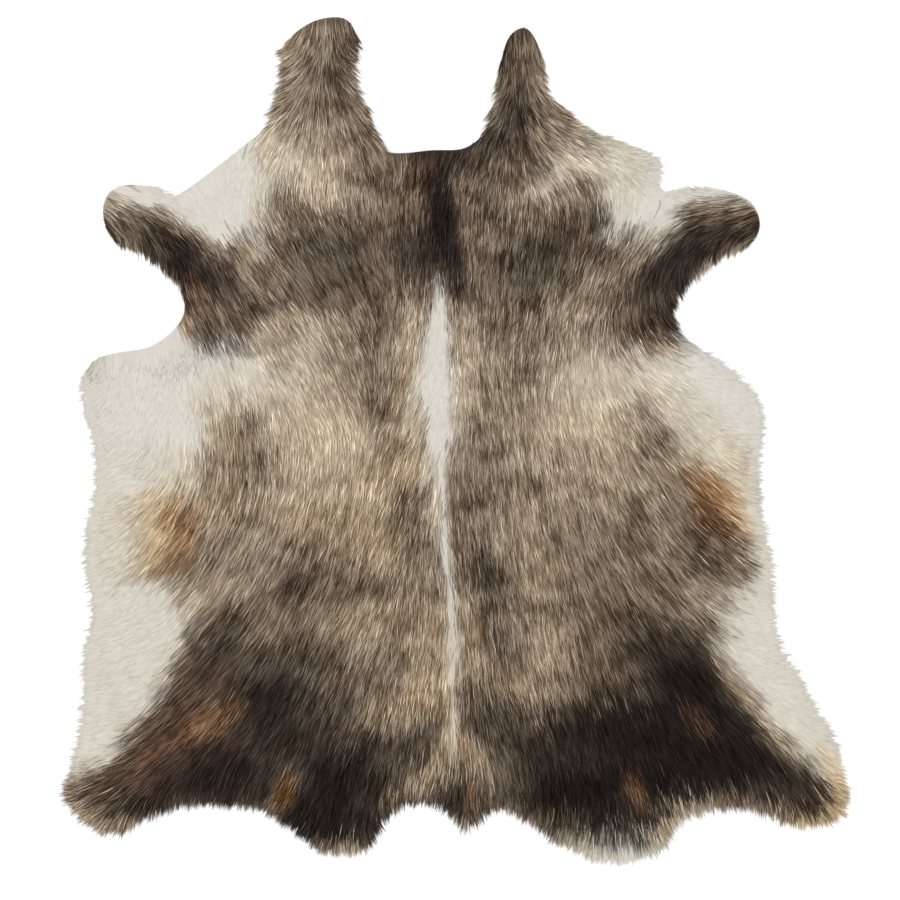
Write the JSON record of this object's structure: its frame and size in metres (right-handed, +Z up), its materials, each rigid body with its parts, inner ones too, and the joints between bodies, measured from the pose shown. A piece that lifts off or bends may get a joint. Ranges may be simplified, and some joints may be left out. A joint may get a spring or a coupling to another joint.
{
  "type": "cowhide rug",
  "caption": "Whole brindle cowhide laid flat as a rug, hair side up, with white flanks, a pale stripe down the back, neck flaps, legs and tail root.",
  "frame": {"origin": "on the floor, under the centre of the hide's overall length and width", "axes": "+Z up from the floor, +Y along the back towards the neck, +X towards the right-hand legs seen from above"},
  "size_m": [1.905, 2.0378, 0.0161],
  "materials": {
    "pile": "soft lying hair, brindle taupe and black-brown with white flanks and a white stripe along the back",
    "suede": "matt natural suede on the flesh side and along the cut edge"
  },
  "bodies": {
    "root": {"hide": "pile"}
  },
  "joints": []
}
